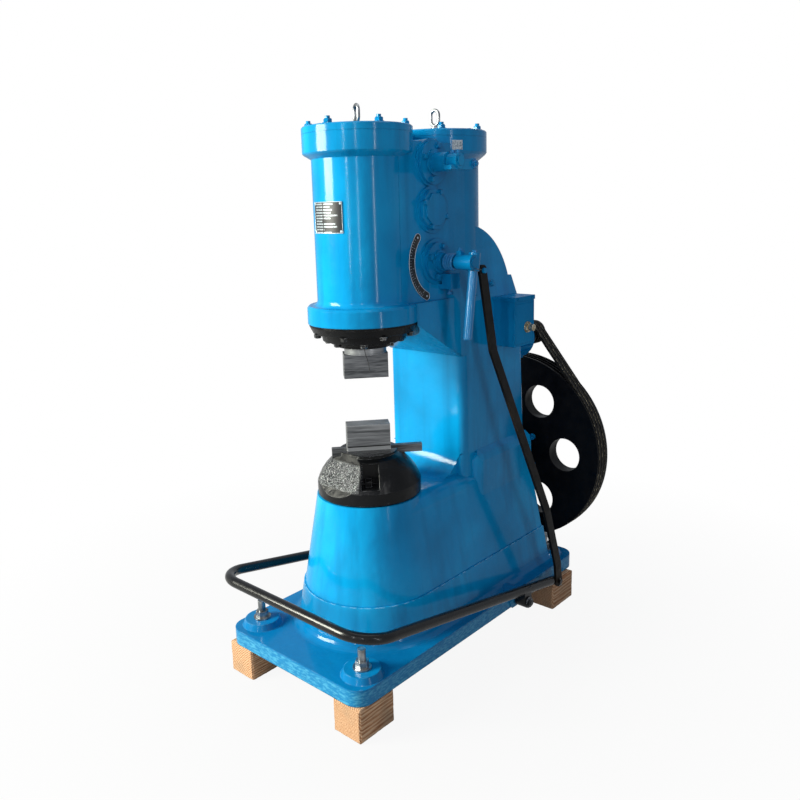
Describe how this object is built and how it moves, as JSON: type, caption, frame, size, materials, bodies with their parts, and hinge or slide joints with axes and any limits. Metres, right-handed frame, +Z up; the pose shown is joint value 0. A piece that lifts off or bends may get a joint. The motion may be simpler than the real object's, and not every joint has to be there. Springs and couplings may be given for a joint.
{
  "type": "air forging hammer",
  "caption": "Air forging hammer with a ram over an anvil in an open throat, twin vertical cylinders, treadle, hand levers and a belt-driven rear flywheel, standing on wooden blocks.",
  "frame": {"origin": "floor level, under the middle of the object's box", "axes": "+Z up; the front of the machine, with the treadle's bar, faces -Y; the hand lever and starter box are on the +X side; the flywheel is at +Y"},
  "size_m": [0.621, 1.1104, 1.4944],
  "materials": {
    "blue_paint": "glossy azure enamel",
    "box_paint": "satin blue enamel on sheet steel",
    "black_iron": "glossy black paint on a rough casting",
    "black_paint": "satin black paint",
    "die_steel": "ground tool steel",
    "zinc_steel": "bright zinc plating",
    "belt_rubber": "dull black rubber",
    "scale_plate": "black printed plate with a bare rim",
    "maker_plate": "bare plate",
    "pine": "rough sawn softwood"
  },
  "bodies": {
    "frame": {"base_plate": "blue_paint", "frame_casting": "blue_paint", "hammer_cover": "blue_paint", "compressor_cover": "blue_paint", "hammer_eye_bolt": "zinc_steel", "compressor_eye_bolt": "zinc_steel", "rod_guide": "black_iron", "gland_ring": "black_iron", "anvil_cap": "black_iron", "lower_die": "die_steel", "lower_die_key": "die_steel", "upper_valve_cover": "blue_paint", "middle_valve_cover": "blue_paint", "lower_valve_cover": "blue_paint", "valve_spring": "blue_paint", "stop_block": "blue_paint", "position_plate": "scale_plate", "name_plate": "maker_plate", "starter_box": "box_paint", "starter_lid": "box_paint", "cable_gland": "zinc_steel", "crank_bearing": "blue_paint", "motor_body": "blue_paint", "motor_pulley": "black_paint", "drive_belts": "belt_rubber", "pivot_bolt_right": "zinc_steel", "pivot_bolt_left": "zinc_steel", "skid_front_right": "pine", "skid_front_left": "pine", "skid_rear_right": "pine", "skid_rear_left": "pine", "anchor_bolt_front_right": "zinc_steel", "anchor_bolt_front_left": "zinc_steel", "anchor_bolt_rear_right": "zinc_steel", "anchor_bolt_rear_left": "zinc_steel"},
    "ram": {"ram_rod": "die_steel", "upper_die": "die_steel", "upper_die_key": "die_steel"},
    "flywheel": {"flywheel": "black_paint"},
    "valve_lever": {"lower_valve_lever": "blue_paint", "hand_lever": "blue_paint"},
    "upper_lever": {"upper_valve_lever": "blue_paint"},
    "treadle": {"treadle_bar": "black_paint"},
    "link": {"link_rod": "black_paint"}
  },
  "joints": [
    {"name": "ram_slide", "type": "slide", "parent": "frame", "child": "ram", "axis": [0, 0, 1], "range_m": [-0.12, 0.008]},
    {"name": "flywheel_spin", "type": "hinge", "parent": "frame", "child": "flywheel", "pos_m": [0, 0.47925, 0.438], "axis": [0, 1, 0], "continuous": true},
    {"name": "treadle_pivot", "type": "hinge", "parent": "frame", "child": "treadle", "pos_m": [0.28, 0.10925, 0.112], "axis": [1, 0, 0], "range_deg": [0, 8], "stiffness_Nm_per_rad": 100, "springref_deg": -34.38},
    {"name": "link_pivot", "type": "hinge", "parent": "treadle", "child": "link", "pos_m": [0.289, 0.28125, 0.11], "axis": [1, 0, 0], "range_deg": [-8.5, 0.1]},
    {"name": "lower_valve_turn", "type": "hinge", "parent": "frame", "child": "valve_lever", "pos_m": [0.215, -0.07075, 1.093], "axis": [1, 0, 0], "range_deg": [-0.1, 17.8]},
    {"name": "upper_valve_turn", "type": "hinge", "parent": "frame", "child": "upper_lever", "pos_m": [0.195, -0.08475, 1.341], "axis": [1, 0, 0], "range_deg": [-30, 30]}
  ],
  "couplings": [
    {"joint": "link_pivot", "follows": "treadle_pivot", "ratio": -1.0462},
    {"joint": "lower_valve_turn", "follows": "treadle_pivot", "ratio": 2.2023}
  ]
}
